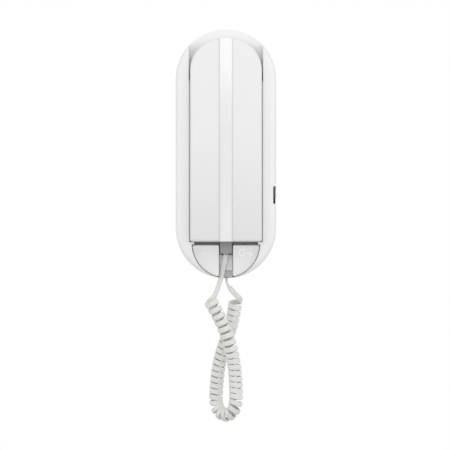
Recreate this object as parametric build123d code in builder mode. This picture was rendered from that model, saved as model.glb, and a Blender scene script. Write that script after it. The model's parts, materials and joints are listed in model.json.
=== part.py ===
from build123d import *
import math
import os

import numpy as np

# A wall-mounted audio intercom with a hung handset on a curly flat cord.
# Millimetres. +Z is up, +X is right as seen from the room and the wall is
# the plane y = 0. The origin is the centre of the back face on the wall.
# A depth is counted from the wall towards the room, along -Y.

# Housing: two cheeks either side of a channel for the handset
base_width = 88.0
base_height = 218.5
base_depth = 36.0
wall = 2.2
rim_gap = 0.5
shoulder_radius = 5.5
cheek_width = 11.5
channel_end_gap = 0.4
floor_depth = 20.0
cheek_hollow_depth = 28.0
cheek_hollow_lap = 2.75
side_ledge_drop = 2.0
side_ledge_margin = 2.0
foot_slot_margin = 2.0
overrun = 1.0

# Handset: two shells, a glossy centre trim, two cups and a cord tongue
handset_side_gap = 1.2
handset_top_margin = 8.35
foot_gap = 3.0
handset_back_depth = 21.0
handset_front_depth = 50.0
front_shell_depth = 12.0
handset_corner = 28.0
handset_foot_corner = 2.0
handset_back_edge = 2.5
handset_front_edge = 2.2
handset_face_wall = 2.8
scoop_height = 44.0
scoop_rise = 7.5
scoop_ear_gap = 5.0
cup_depth = 5.5
ear_drop = 38.9
ear_cup_radius = 23.0
mic_rise = 29.0
mic_cup_radius = 14.5
cup_edge = 1.5
ear_hole_radius = 1.3
ear_hole_ring_share = 0.609
ear_hole_count = 6
mic_hole_radius = 0.9
mic_hole_ring = 4.0
mic_hole_count = 4
tongue_width = 10.2
tongue_length = 10.6
tongue_set_back = 1.5
tongue_thickness = 9.0
tongue_edge = 1.0
trim_width = 10.8
trim_seat = 1.1
trim_side_height = 0.9
trim_crown = 0.9
trim_end_inset = 0.3
lip_height = 2.0
lip_thickness = 1.2
tower_radius = 4.6
tower_sink = 3.5
screw_grip = 6.0
handset_screw_top_margin = 9.3
handset_screw_foot_margin = 9.0
handset_screw_side_margin = 10.3

# Clearances
fit_gap = 0.2
seat_gap = 0.3
running_gap = 0.4
cup_gap = 1.2
cup_bed_gap = 0.9
pilot_gap = 0.1

# Room that the wells leave above the cups, so that the handset lifts out
well_rise = 4.5

# Keys: two quarter discs either side of the cord slot
key_side_margin = 14.4
key_foot_margin = 0.75
key_gap = 0.4
key_cut = 1.1
key_slot_width = 12.2
key_face_inset = 3.0
key_skirt_gap = 3.0
key_wall = 1.6
key_edge = 1.2
key_corner = 1.5
key_stem_radius = 3.0
key_stem_shares = (0.591, 0.4425)
key_pin_radius = 1.3
key_collar_radius = 4.0
key_collar_height = 0.6
key_pin_entry = 0.4
guide_radius = 1.5
guide_far_shares = (0.8275, 0.206)
guide_near_share = 0.696
guide_near_offset = 3.4
guide_entry = 1.6
rib_width = 11.4
rib_height = 4.0
rib_drop = 8.6
ledge_rise = 7.05

# Call-volume switch in the right shoulder
slot_rise = 80.85
slot_length = 15.8
slot_width = 2.6
slot_reach = 9.8
knob_length = 10.2
knob_rise = 0.5
knob_height = 3.0
knob_stem_width = 1.2
knob_stem_reach = 9.3
knob_tab_margin = 7.8
knob_tab_length = 6.0
knob_tab_grip = 4.0
knob_rib_depth = 0.4
knob_rib_count = 8
knob_rib_pitch = 1.02
knob_rib_gap = 0.51
volume_body_width = 4.0
volume_body_top = 26.0
volume_body_length = 19.6

# Board and what stands on it
board_depth = 10.0
board_thickness = 1.6
board_margin = 0.9
board_ringer_drop = 12.0
board_foot_margin = 9.25
boss_radius = 3.2
screw_radius = 1.4
screw_head_radius = 2.7
screw_head_height = 1.6
screw_slot_width = 0.8
screw_slot_depth = 0.7
board_screw_side_margin = 16.0
board_screw_drop = 8.0
board_screw_rise = 32.0
tact_side = 6.2
tact_height = 3.2
tact_corner = 0.8
tact_bore_floor = 0.8
terminal_width = 40.0
terminal_height = 9.0
terminal_depth = 6.4
terminal_drop = 12.0
terminal_count = 8
terminal_bore = 1.67
terminal_bore_depth = 2.13
terminal_mouth_width = 2.5
terminal_mouth_height = 2.13
terminal_mouth_depth = 3.0
socket_width = 18.0
socket_height = 6.0
socket_depth = 4.6
socket_drop = 35.0
socket_count = 6
socket_row_pitch = 3.0
socket_pin_width = 1.5
socket_pin_depth = 2.3
capacitor_radius = 3.0
capacitor_height = 12.0
capacitor_side_margin = 5.8
capacitor_drop = 5.0
capacitor_pitch = 9.0
capacitor_groove = 0.4
capacitor_groove_height = 1.2
capacitor_groove_width = 1.0
transformer_width = 14.0
transformer_height = 12.0
transformer_depth = 6.2
transformer_x = -15.0
transformer_rise = 18.0
transformer_core = 5.0
winding_width = 9.8
winding_depth = 5.3
winding_corner = 1.6
chip_width = 10.2
chip_height = 7.6
chip_depth = 2.4
chip_place_share = 0.4626
chip_drop = 1.0
chip_pin_count = 6
chip_pin_width = 0.9
chip_pin_height = 1.2
chip_lift = 0.3

# Hook
hook_rise = 29.0
hook_travel = 4.0
hook_width = 8.0
hook_height = 6.0
hook_proud = 0.8
hook_nose = 1.0
flange_width = 12.0
flange_height = 9.0
flange_thickness = 1.1
fin_length = 5.6
fin_thickness = 1.2
fork_width = 6.5
fork_height = 8.0
fork_slot = 2.0
fork_base = 0.4

# Ringer under the channel floor
ringer_drop = 48.0
ringer_radius = 15.0
ringer_rim = 2.0
ringer_height = 7.6
ringer_magnet_radius = 8.0
ringer_slot_count = 5
ringer_slot_pitch = 4.0
ringer_slot_width = 1.8
ringer_slot_length = 19.0
ringer_cone_angle = -15

# Capsules in the handset
receiver_side_gap = 1.8
receiver_height = 9.5
receiver_magnet_share = 0.526
receiver_frame_height = 4.0
gasket_thickness = 1.2
gasket_bore_share = 0.605
mic_radius = 4.9
mic_height = 5.0
boot_floor = 1.4
boot_port_radius = 2.0
boot_ring_height = 3.0
boot_ring_wall = 1.2
boot_radius = 7.5
boot_height = 6.4

# Modular plugs and jacks for the flat cord
plug_width = 7.6
plug_height = 6.2
plug_length = 14.6
plug_recess = 0.4
plug_nose = 2.4
plug_contact_count = 4
plug_contact_pitch = 1.52
plug_contact_width = 0.63
latch_share = 1 / 3
plug_step = 1.2
latch_thickness = 0.9
latch_groove = 0.45
plug_gap = 0.15
jack_x = 0.3
jack_height = 9.8
jack_foot_margin = 1.25
jack_length = 15.8
jack_side_wall = 1.1
handset_jack_length = 9.0
sleeve_wall = 0.55
handset_jack_recess = 3.4

# Wall plate
plate_gap = 0.3
plate_thickness = 2.5
plate_rib_height = 1.4
plate_rib_width = 1.6
wall_screw_pitch = 60.0
wall_screw_radius = 2.2
wall_screw_centre = -14.0
cable_width = 28.0
cable_height = 20.0
tab_height = 7.0
tab_length = 9.0
tab_thickness = 1.6
nib_reach = 0.9
nib_height = 1.6
tab_margin = 13.25

# Cord: a flat cord, wound flat into one left-handed curly coil
cord_width = 4.6
cord_thickness = 2.3
coil_radius = 4.95
coil_pitch = 5.55
bend_from_share = 0.39
bend_to_share = 0.625
bend_ramp_share = 0.06
bend_pitch_share = 1.6
bend_side_share = (0.744, 0.668)
guide_offset = 2.0
winding_samples = 2001
tangent_step = 0.02
straight_share = 1e-9
span_stations = 8
quarters = 4
least_gap = 0.4
run_share = 0.45
handset_stub_lead = 7.0
base_stub_lead = 7.0
handset_stub_share = (-0.50, 0.0, -0.86)
base_stub_share = (-0.64, -0.1, 0.768)
handset_last_run = 8.6
base_last_run = 7.55

# Places worked out from the sizes above
base_half = base_width / 2
base_foot = -base_height / 2
end_centre = (base_height - base_width) / 2
channel_width = base_width - 2 * cheek_width
cheek_hollow_height = 2 * (end_centre + cheek_hollow_lap)
key_radius = base_half - key_side_margin
key_centre = base_foot + key_foot_margin + key_radius
key_top = key_centre - key_cut
foot_slot_width = 2 * (key_radius + key_gap - foot_slot_margin)
side_ledge_top = end_centre - side_ledge_margin
key_face_depth = base_depth - key_face_inset
key_skirt_depth = floor_depth + key_skirt_gap
key_stem_x = key_stem_shares[0] * key_radius
key_stem_z = key_centre - key_stem_shares[1] * key_radius
guide_far_x = guide_far_shares[0] * key_radius
guide_far_z = key_centre - guide_far_shares[1] * key_radius
guide_near_x = key_slot_width / 2 + guide_near_offset
guide_near_z = key_centre - guide_near_share * key_radius
rib_top = key_top - rib_drop
rib_depth = floor_depth + rib_height
ledge_top = base_foot + ledge_rise
handset_width = channel_width - 2 * handset_side_gap
handset_bottom = key_top + foot_gap
handset_top = base_height / 2 - handset_top_margin
parting_depth = handset_front_depth - front_shell_depth
channel_end = handset_bottom - channel_end_gap
ear_centre = handset_top - ear_drop
mic_centre = handset_bottom + mic_rise
scoop_centre = ear_centre - ear_cup_radius - scoop_ear_gap - scoop_height / 2
tongue_depth = handset_back_depth + tongue_set_back
handset_screw_x = handset_width / 2 - handset_screw_side_margin
handset_screw_top = handset_top - handset_screw_top_margin
handset_screw_low = handset_bottom + handset_screw_foot_margin
ringer_z = ear_centre - ringer_drop
hook_z = mic_centre + hook_rise
board_top = ringer_z - board_ringer_drop
board_bottom = base_foot + board_foot_margin
board_screw_x = base_half - board_screw_side_margin
board_screw_high = board_top - board_screw_drop
board_screw_low = board_bottom + board_screw_rise
terminal_z = hook_z - terminal_drop
socket_z = hook_z - socket_drop
capacitor_x = capacitor_side_margin - base_half
capacitor_high = hook_z - capacitor_drop
transformer_z = board_bottom + transformer_rise
chip_z = hook_z - chip_drop
slot_top = base_foot + slot_rise
knob_tab_x = base_half - knob_tab_margin
knob_tab_foot = volume_body_top - knob_tab_grip
volume_body_left = knob_tab_x + knob_stem_width / 2 + running_gap
fork_right = flange_width / 2 + fork_slot + fork_width
chip_x = fork_right + chip_place_share * (volume_body_left - fork_right)
tab_z = end_centre - tab_margin
jack_end = base_foot + jack_foot_margin
receiver_radius = ear_cup_radius - wall - receiver_side_gap
receiver_magnet_radius = receiver_magnet_share * receiver_radius
gasket_bore_radius = gasket_bore_share * receiver_radius
ear_hole_ring = ear_hole_ring_share * gasket_bore_radius
floor_under = floor_depth - wall
board_front = board_depth + board_thickness
handset_half = handset_width / 2
cup_face = handset_back_depth - cup_depth
cup_floor = cup_face + wall
well_depth = cup_face - cup_bed_gap
well_under = well_depth - wall
handset_floor = handset_back_depth + wall
handset_ceiling = handset_front_depth - handset_face_wall
trim_floor = handset_front_depth - trim_seat
tongue_middle = tongue_depth + tongue_thickness / 2
tongue_end = handset_bottom - tongue_length
sleeve_width = plug_width + 2 * (plug_gap + sleeve_wall)
sleeve_height = plug_height + 2 * (plug_gap + sleeve_wall)
jack_front_depth = board_front + jack_height
jack_middle = (board_front + jack_front_depth) / 2
scoop_radius = ((scoop_height / 2) ** 2 + scoop_rise**2) / (2 * scoop_rise)
scoop_axis_depth = handset_back_depth + scoop_rise - scoop_radius
tact_top = board_front + tact_height
gasket_top = cup_floor + gasket_thickness
slot_middle = slot_top - slot_length / 2
knob_middle = slot_top - fit_gap - knob_length / 2
shoulder_inset = shoulder_radius * (1 - math.sqrt(0.5))

# Routes, as x, depth and z, chosen by hand
coil_route = [
    (-13.9, 31.0, -128.6),
    (-9.3, 31.0, -136.7),
    (-3.6, 30.5, -147.6),
    (0.4, 30.0, -158.0),
    (3.7, 29.5, -168.0),
    (6.6, 29.0, -180.0),
    (8.2, 28.6, -193.0),
    (8.9, 28.3, -207.0),
    (8.75, 28.0, -221.4),
    (3.6, 22.3, -229.1),
    (-3.6, 14.2, -229.1),
    (-8.75, 8.5, -221.4),
    (-8.6, 8.6, -208.0),
    (-7.4, 8.8, -194.0),
    (-5.4, 9.1, -182.0),
    (-2.3, 9.4, -171.0),
    (1.1, 9.7, -161.5),
    (4.6, 10.0, -151.0),
    (7.0, 10.2, -140.5),
    (8.2, 10.3, -130.0),
]
handset_lead_route = [
    (0.0, tongue_middle, tongue_end + plug_recess),
    (0.0, tongue_middle, -95.4),
    (-1.1, 26.6, -103.9),
]
base_lead_route = [
    (jack_x, jack_middle, jack_end),
    (jack_x, jack_middle, -112.9),
]


def facing_room(depth):
    """The plane parallel to the wall at a depth, seen from the room."""
    return Plane.XZ.offset(depth)


def place(x, depth, z):
    return Vector(x, -depth, z)


def stadium(inset, mode=Mode.ADD):
    """The outline of the base, drawn in by an inset."""
    return SlotOverall(
        base_height - 2 * inset, base_width - 2 * inset, rotation=90, mode=mode
    )


def handset_outline(inset=0.0):
    """Flat foot, straight sides and a round head that follows the base."""
    head = handset_top - end_centre
    shoulder = end_centre + math.sqrt(head**2 - handset_half**2)
    with BuildSketch() as outline:
        with BuildLine():
            Polyline(
                (-handset_half, shoulder),
                (-handset_half, handset_bottom),
                (handset_half, handset_bottom),
                (handset_half, shoulder),
            )
            ThreePointArc(
                (handset_half, shoulder), (0, handset_top), (-handset_half, shoulder)
            )
        make_face()
        fillet(outline.vertices().group_by(Axis.Y)[0], handset_foot_corner)
        fillet(outline.vertices().group_by(Axis.Y)[-1], handset_corner)
        if inset:
            offset(amount=-inset, mode=Mode.REPLACE)
    return outline.sketch


def modular_plug(seat):
    """A modular plug whose cord end lies on the seat plane."""
    with BuildPart() as plug:
        with BuildSketch(seat):
            Rectangle(plug_width, plug_height)
        extrude(amount=plug_length)
        with BuildSketch(seat.offset(plug_length - plug_nose)):
            with Locations((0, (plug_height - plug_step) / 2)):
                Rectangle(plug_width, plug_step)
            with Locations((0, -plug_height / 2)):
                with GridLocations(plug_contact_pitch, 0, plug_contact_count, 1):
                    Rectangle(plug_contact_width, plug_step)
        extrude(amount=plug_nose, mode=Mode.SUBTRACT)
        with BuildSketch(seat.offset(plug_length * latch_share)):
            with Locations((0, plug_height / 2 - latch_thickness)):
                Rectangle(plug_width, latch_groove)
        extrude(amount=plug_length * latch_share, mode=Mode.SUBTRACT)
    return plug.part


def handset_tower_places():
    return [
        (0, handset_screw_top),
        (-handset_screw_x, handset_screw_low),
        (handset_screw_x, handset_screw_low),
    ]


def board_screw_places():
    return [
        (side * board_screw_x, height)
        for side in (-1, 1)
        for height in (board_screw_low, board_screw_high)
    ]


def self_tapping_screw(spots, head_depth, length):
    """Pan-head screws driven from the wall side, with a cross slot."""
    with BuildPart() as screws:
        with BuildSketch(facing_room(head_depth)):
            with Locations(*spots):
                Circle(screw_head_radius)
        extrude(amount=screw_head_height)
        with BuildSketch(facing_room(head_depth)):
            with Locations(*spots):
                Rectangle(screw_head_radius, screw_slot_width)
                Rectangle(screw_slot_width, screw_head_radius)
        extrude(amount=screw_slot_depth, mode=Mode.SUBTRACT)
        with BuildSketch(facing_room(head_depth + screw_head_height)):
            with Locations(*spots):
                Circle(screw_radius)
        extrude(amount=length)
    return screws.part


def push_switch(x):
    """A square push switch with a bore for the key's pin."""
    with BuildPart() as switch:
        with BuildSketch(facing_room(board_front)):
            with Locations((x, key_stem_z)):
                RectangleRounded(tact_side, tact_side, tact_corner)
        extrude(amount=tact_height)
        with BuildSketch(facing_room(board_front + tact_bore_floor)):
            with Locations((x, key_stem_z)):
                Circle(key_pin_radius + fit_gap)
        extrude(amount=tact_height, mode=Mode.SUBTRACT)
    return switch.part


def quarter_key(side):
    """A hollow quarter-disc key with its stem, collar, pin and guides."""
    with BuildPart() as key:
        with BuildSketch(facing_room(key_skirt_depth)) as face:
            with Locations((0, key_centre)):
                Circle(key_radius)
            with Locations((side * key_slot_width / 2, key_top)):
                Rectangle(
                    base_width,
                    base_width,
                    align=(Align.MAX if side < 0 else Align.MIN, Align.MAX),
                    mode=Mode.INTERSECT,
                )
            fillet(face.vertices(), key_corner)
        extrude(amount=key_face_depth - key_skirt_depth)
        fillet(key.faces().sort_by(Axis.Y)[0].edges(), key_edge)
        with BuildSketch(facing_room(key_skirt_depth)) as hollow:
            with Locations((0, key_centre)):
                Circle(key_radius - key_wall)
            with Locations((side * (key_slot_width / 2 + key_wall), key_top - key_wall)):
                Rectangle(
                    base_width,
                    base_width,
                    align=(Align.MAX if side < 0 else Align.MIN, Align.MAX),
                    mode=Mode.INTERSECT,
                )
        extrude(amount=key_face_depth - key_skirt_depth - key_wall, mode=Mode.SUBTRACT)
        collar_depth = floor_under - seat_gap - key_collar_height
        pin_depth = tact_top - key_pin_entry
        with BuildSketch(facing_room(collar_depth)):
            with Locations((side * key_stem_x, key_stem_z)):
                Circle(key_stem_radius)
        extrude(amount=key_face_depth - key_wall - collar_depth)
        with BuildSketch(facing_room(collar_depth)):
            with Locations((side * key_stem_x, key_stem_z)):
                Circle(key_collar_radius)
        extrude(amount=key_collar_height)
        with BuildSketch(facing_room(pin_depth)):
            with Locations((side * key_stem_x, key_stem_z)):
                Circle(key_pin_radius)
        extrude(amount=collar_depth - pin_depth)
        with BuildSketch(facing_room(floor_depth - guide_entry)):
            with Locations(
                (side * guide_far_x, guide_far_z), (side * guide_near_x, guide_near_z)
            ):
                Circle(guide_radius)
        extrude(amount=key_face_depth - key_wall - floor_depth + guide_entry)
    return key.part


def corner_radii(points):
    """The radius at each corner that leaves straight runs on both sides."""
    radii = []
    for before, corner, after in zip(points, points[1:], points[2:]):
        turn = math.radians((corner - before).get_angle(after - corner))
        shorter = min((corner - before).length, (after - corner).length)
        radii.append(run_share * shorter / math.tan(turn / 2))
    return radii


def cord_run(points, thins):
    """A stretch of flat cord: straight runs joined by tangent arcs."""
    radii = corner_radii(points)
    rails = [point + thin * guide_offset for point, thin in zip(points, thins)]
    with BuildPart() as cord:
        with BuildLine() as line:
            FilletPolyline(*points, radius=radii)
        with BuildLine() as rail:
            FilletPolyline(*rails, radius=corner_radii(rails))
        start = Plane(origin=points[0], x_dir=thins[0], z_dir=points[1] - points[0])
        with BuildSketch(start):
            Rectangle(cord_thickness, cord_width)
        sweep(path=line.wires()[0], binormal=rail.wires()[0])
    print("corner radii", [round(radius, 1) for radius in radii])
    print("length", round(line.wires()[0].length, 1))
    return cord.part


# Back plate, screwed to the wall round the cable entry
with BuildPart() as wall_plate:
    with BuildSketch(facing_room(0)):
        stadium(wall + plate_gap)
        with Locations((0, wall_screw_centre)):
            Rectangle(cable_width, cable_height, mode=Mode.SUBTRACT)
            with GridLocations(0, wall_screw_pitch, 1, 2):
                Circle(wall_screw_radius, mode=Mode.SUBTRACT)
    extrude(amount=plate_thickness)
    with BuildSketch(facing_room(plate_thickness)):
        stadium(wall + plate_gap)
        stadium(wall + plate_gap + plate_rib_width, mode=Mode.SUBTRACT)
        with Locations((0, wall_screw_centre)):
            Rectangle(cable_width + 2 * plate_rib_width, cable_height + 2 * plate_rib_width)
            Rectangle(cable_width, cable_height, mode=Mode.SUBTRACT)
            with GridLocations(0, wall_screw_pitch, 1, 2):
                Circle(wall_screw_radius + plate_rib_width)
                Circle(wall_screw_radius, mode=Mode.SUBTRACT)
    extrude(amount=plate_rib_height)
    tab_face = base_half - wall - plate_gap
    with BuildSketch(facing_room(plate_thickness)):
        with GridLocations(2 * tab_face - tab_thickness, 2 * tab_z, 2, 2):
            Rectangle(tab_thickness, tab_length)
    extrude(amount=tab_height)
    with BuildSketch(facing_room(plate_thickness + tab_height - nib_height)):
        with GridLocations(2 * tab_face, 2 * tab_z, 2, 2):
            Rectangle(2 * nib_reach, tab_length)
    extrude(amount=nib_height)

# Moulded cover: cheeks, handset channel, cup wells, key pockets and cord slot
with BuildPart() as base_cover:
    with BuildSketch(facing_room(rim_gap)):
        stadium(0)
    extrude(amount=base_depth - rim_gap)
    fillet(base_cover.faces().sort_by(Axis.Y)[0].edges(), shoulder_radius)
    with BuildSketch(facing_room(rim_gap)):
        stadium(wall)
    extrude(amount=floor_under - rim_gap, mode=Mode.SUBTRACT)
    with BuildSketch(facing_room(floor_under)):
        stadium(wall)
        Rectangle(base_width, cheek_hollow_height, mode=Mode.INTERSECT)
        Rectangle(channel_width + 2 * wall, base_height, mode=Mode.SUBTRACT)
    extrude(amount=cheek_hollow_depth - floor_under, mode=Mode.SUBTRACT)
    # tubs of the two wells, the ringer's seat and the screw bosses
    with BuildSketch(facing_room(well_under)):
        for centre, radius in ((ear_centre, ear_cup_radius), (mic_centre, mic_cup_radius)):
            with Locations((0, centre + well_rise / 2)):
                SlotCenterToCenter(well_rise, 2 * (radius + cup_gap + wall), rotation=90)
    extrude(amount=floor_depth - well_under)
    with BuildSketch(facing_room(floor_under - ringer_rim)):
        with Locations((0, ringer_z)):
            Circle(ringer_radius + fit_gap + wall)
            Circle(ringer_radius + fit_gap, mode=Mode.SUBTRACT)
    extrude(amount=ringer_rim)
    with BuildSketch(facing_room(board_front)):
        with Locations(*board_screw_places()):
            Circle(boss_radius)
            Circle(screw_radius + pilot_gap, mode=Mode.SUBTRACT)
    extrude(amount=floor_under - board_front)
    # channel for the handset, open at the top end
    with BuildSketch(facing_room(floor_depth)):
        with Locations((0, channel_end)):
            Rectangle(channel_width, base_height, align=(Align.CENTER, Align.MIN))
    extrude(amount=base_depth, mode=Mode.SUBTRACT)
    with BuildSketch(facing_room(well_depth)):
        for centre, radius in ((ear_centre, ear_cup_radius), (mic_centre, mic_cup_radius)):
            with Locations((0, centre + well_rise / 2)):
                SlotCenterToCenter(well_rise, 2 * (radius + cup_gap), rotation=90)
    extrude(amount=floor_depth, mode=Mode.SUBTRACT)
    # ledges just under the cheeks, which close the gap beside the handset
    with BuildSketch(facing_room(floor_depth)):
        with Locations((0, channel_end)):
            Rectangle(
                channel_width, side_ledge_top - channel_end, align=(Align.CENTER, Align.MIN)
            )
            Rectangle(
                handset_width + 2 * running_gap,
                side_ledge_top - channel_end,
                align=(Align.CENTER, Align.MIN),
                mode=Mode.SUBTRACT,
            )
    extrude(amount=base_depth - side_ledge_drop - floor_depth)
    # half-round pocket for both keys, with the rib that carries the cord
    with BuildSketch(facing_room(floor_depth)):
        with Locations((0, key_centre)):
            Circle(key_radius + key_gap)
        with Locations((0, key_top + key_gap)):
            Rectangle(
                base_width, base_height, align=(Align.CENTER, Align.MAX), mode=Mode.INTERSECT
            )
        with Locations((0, channel_end)):
            Rectangle(
                foot_slot_width, channel_end - key_top, align=(Align.CENTER, Align.MAX)
            )
    extrude(amount=base_depth, mode=Mode.SUBTRACT)
    with BuildSketch(facing_room(floor_depth)):
        with Locations((0, rib_top)):
            Rectangle(rib_width, base_height, align=(Align.CENTER, Align.MAX))
        stadium(0, mode=Mode.INTERSECT)
    extrude(amount=rib_depth - floor_depth)
    with BuildSketch(facing_room(rib_depth)):
        with Locations((0, key_centre)):
            Rectangle(rib_width, base_height, align=(Align.CENTER, Align.MAX))
    extrude(amount=base_depth, mode=Mode.SUBTRACT)
    # recess for the jack, seen from the room at the foot of the rib
    jack_half = plug_height / 2 + plug_gap + jack_side_wall
    with BuildSketch(facing_room(board_front)):
        with Locations((jack_x, jack_end + jack_length + fit_gap)):
            Rectangle(2 * (jack_half + fit_gap), base_height, align=(Align.CENTER, Align.MAX))
    extrude(amount=jack_front_depth + fit_gap - board_front, mode=Mode.SUBTRACT)
    with BuildSketch(facing_room(jack_front_depth)):
        with Locations((jack_x, ledge_top)):
            Rectangle(2 * (jack_half + fit_gap), base_height, align=(Align.CENTER, Align.MAX))
    extrude(amount=base_depth, mode=Mode.SUBTRACT)
    # passages through the floor
    with BuildSketch(facing_room(0)):
        for side in (-1, 1):
            with Locations((side * key_stem_x, key_stem_z)):
                Circle(key_stem_radius + running_gap)
            with Locations((side * guide_far_x, guide_far_z), (side * guide_near_x, guide_near_z)):
                Circle(guide_radius + seat_gap)
        with Locations((0, hook_z)):
            Rectangle(hook_width + 2 * running_gap, hook_height + 2 * running_gap)
        with Locations((0, ringer_z)):
            with GridLocations(0, ringer_slot_pitch, 1, ringer_slot_count):
                SlotOverall(ringer_slot_length, ringer_slot_width)
    extrude(amount=base_depth, mode=Mode.SUBTRACT)
    # slot of the volume switch, square to the shoulder
    shoulder_plane = Plane(
        origin=place(base_half - shoulder_inset, base_depth - shoulder_inset, slot_middle),
        x_dir=(0, 0, 1),
        z_dir=(1, -1, 0),
    )
    with BuildSketch(shoulder_plane.offset(overrun)):
        SlotOverall(slot_length, slot_width)
    extrude(amount=-slot_reach - overrun, mode=Mode.SUBTRACT)
    # pockets for the plate's snap tabs
    with BuildSketch(facing_room(plate_thickness + tab_height - nib_height - seat_gap)):
        with GridLocations(2 * tab_face, 2 * tab_z, 2, 2):
            Rectangle(2 * (nib_reach + seat_gap), tab_length + 2 * seat_gap)
    extrude(amount=nib_height + 2 * seat_gap, mode=Mode.SUBTRACT)

# Board and the pieces that stand on it
with BuildPart() as main_board:
    with BuildSketch(facing_room(board_depth)):
        stadium(wall + board_margin)
        with Locations((0, board_bottom)):
            Rectangle(
                base_width,
                board_top - board_bottom,
                align=(Align.CENTER, Align.MIN),
                mode=Mode.INTERSECT,
            )
        with Locations(*board_screw_places()):
            Circle(screw_radius + pilot_gap, mode=Mode.SUBTRACT)
    extrude(amount=board_thickness)

board_screws_part = self_tapping_screw(
    board_screw_places(),
    board_depth - screw_head_height,
    floor_under - board_depth - screw_slot_depth,
)
with BuildPart() as board_screws:
    add(board_screws_part)

with BuildPart() as light_switch:
    add(push_switch(-key_stem_x))

with BuildPart() as door_switch:
    add(push_switch(key_stem_x))

with BuildPart() as terminal_block:
    cell = terminal_width / terminal_count
    with BuildSketch(facing_room(board_depth - terminal_depth)):
        with Locations((0, terminal_z)):
            Rectangle(terminal_width, terminal_height)
    extrude(amount=terminal_depth)
    with BuildSketch(facing_room(board_depth - terminal_depth)):
        with Locations((0, terminal_z)):
            with GridLocations(cell, 0, terminal_count, 1):
                Circle(terminal_bore)
    extrude(amount=terminal_bore_depth, mode=Mode.SUBTRACT)
    mouth = Plane(
        origin=place(0, board_depth - terminal_mouth_height, terminal_z + terminal_height / 2),
        x_dir=(1, 0, 0),
        z_dir=(0, 0, 1),
    )
    with BuildSketch(mouth):
        with GridLocations(cell, 0, terminal_count, 1):
            Rectangle(terminal_mouth_width, terminal_mouth_height)
    extrude(amount=-terminal_mouth_depth, mode=Mode.SUBTRACT)

with BuildPart() as setting_socket:
    with BuildSketch(facing_room(board_depth - socket_depth)):
        with Locations((0, socket_z)):
            Rectangle(socket_width, socket_height)
    extrude(amount=socket_depth)
    with BuildSketch(facing_room(board_depth - socket_depth)):
        with Locations((0, socket_z)):
            with GridLocations(socket_width / socket_count, socket_row_pitch, socket_count, 2):
                Rectangle(socket_pin_width, socket_pin_width)
    extrude(amount=socket_pin_depth, mode=Mode.SUBTRACT)

with BuildPart() as capacitors:
    with BuildSketch(facing_room(board_front)):
        with Locations(
            (capacitor_x, capacitor_high), (capacitor_x, capacitor_high - capacitor_pitch)
        ):
            Circle(capacitor_radius)
    extrude(amount=capacitor_height)
    with BuildSketch(facing_room(board_front + capacitor_groove_height)):
        with Locations(
            (capacitor_x, capacitor_high), (capacitor_x, capacitor_high - capacitor_pitch)
        ):
            Circle(capacitor_radius)
            Circle(capacitor_radius - capacitor_groove, mode=Mode.SUBTRACT)
    extrude(amount=capacitor_groove_width, mode=Mode.SUBTRACT)

with BuildPart() as transformer:
    with BuildSketch(facing_room(board_depth - transformer_depth)):
        with Locations((transformer_x, transformer_z)):
            Rectangle(transformer_width, transformer_core)
    extrude(amount=transformer_depth)
    with BuildSketch(facing_room(board_depth - winding_depth)):
        with Locations((transformer_x, transformer_z)):
            RectangleRounded(winding_width, transformer_height, winding_corner)
    extrude(amount=winding_depth)

with BuildPart() as voice_chip:
    with BuildSketch(facing_room(board_front + chip_lift)):
        with Locations((chip_x, chip_z)):
            Rectangle(chip_width, chip_height)
    extrude(amount=chip_depth)
    with BuildSketch(facing_room(board_front)):
        with Locations((chip_x, chip_z)):
            with GridLocations(chip_width / chip_pin_count, 0, chip_pin_count, 1):
                Rectangle(chip_pin_width, chip_height + 2 * chip_pin_width)
    extrude(amount=chip_pin_height)

# Volume switch: a ribbed knob in the shoulder and the switch behind it
with BuildPart() as volume_switch:
    with BuildSketch(facing_room(board_front)):
        with Locations((volume_body_left, slot_middle)):
            Rectangle(
                volume_body_width, volume_body_length, align=(Align.MIN, Align.CENTER)
            )
    extrude(amount=volume_body_top - board_front)

with BuildPart() as volume_knob:
    knob_plane = Plane(
        origin=place(base_half - shoulder_inset, base_depth - shoulder_inset, knob_middle),
        x_dir=(0, 0, 1),
        z_dir=(1, -1, 0),
    )
    with BuildSketch(knob_plane.offset(-knob_height)):
        SlotOverall(knob_length, slot_width - 2 * fit_gap)
    extrude(amount=knob_height + knob_rise)
    with BuildSketch(knob_plane.offset(knob_rise)):
        with GridLocations(knob_rib_pitch, 0, knob_rib_count, 1):
            Rectangle(knob_rib_gap, slot_width)
    extrude(amount=-knob_rib_depth, mode=Mode.SUBTRACT)
    with BuildSketch(knob_plane.offset(-knob_stem_reach)):
        Rectangle(knob_tab_length, knob_stem_width)
    extrude(amount=knob_stem_reach - knob_height)
    with BuildSketch(facing_room(knob_tab_foot)):
        with Locations((knob_tab_x, knob_middle)):
            Rectangle(knob_stem_width, knob_tab_length)
    extrude(amount=cheek_hollow_depth - seat_gap - knob_tab_foot)

# Hook plunger pressed by the hung handset, and the fork that reads its fin
with BuildPart() as hook_plunger:
    flange_depth = floor_under - seat_gap - hook_travel - flange_thickness
    with BuildSketch(facing_room(flange_depth)):
        with Locations((0, hook_z)):
            Rectangle(flange_width, flange_height)
        with Locations((flange_width / 2, hook_z)):
            Rectangle(fin_length, fin_thickness, align=(Align.MIN, Align.CENTER))
    extrude(amount=flange_thickness)
    with BuildSketch(facing_room(flange_depth)):
        with Locations((0, hook_z)):
            Rectangle(hook_width, hook_height)
    extrude(amount=floor_depth + hook_proud - flange_depth)
    fillet(hook_plunger.faces().sort_by(Axis.Y)[0].edges(), hook_nose)

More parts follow.
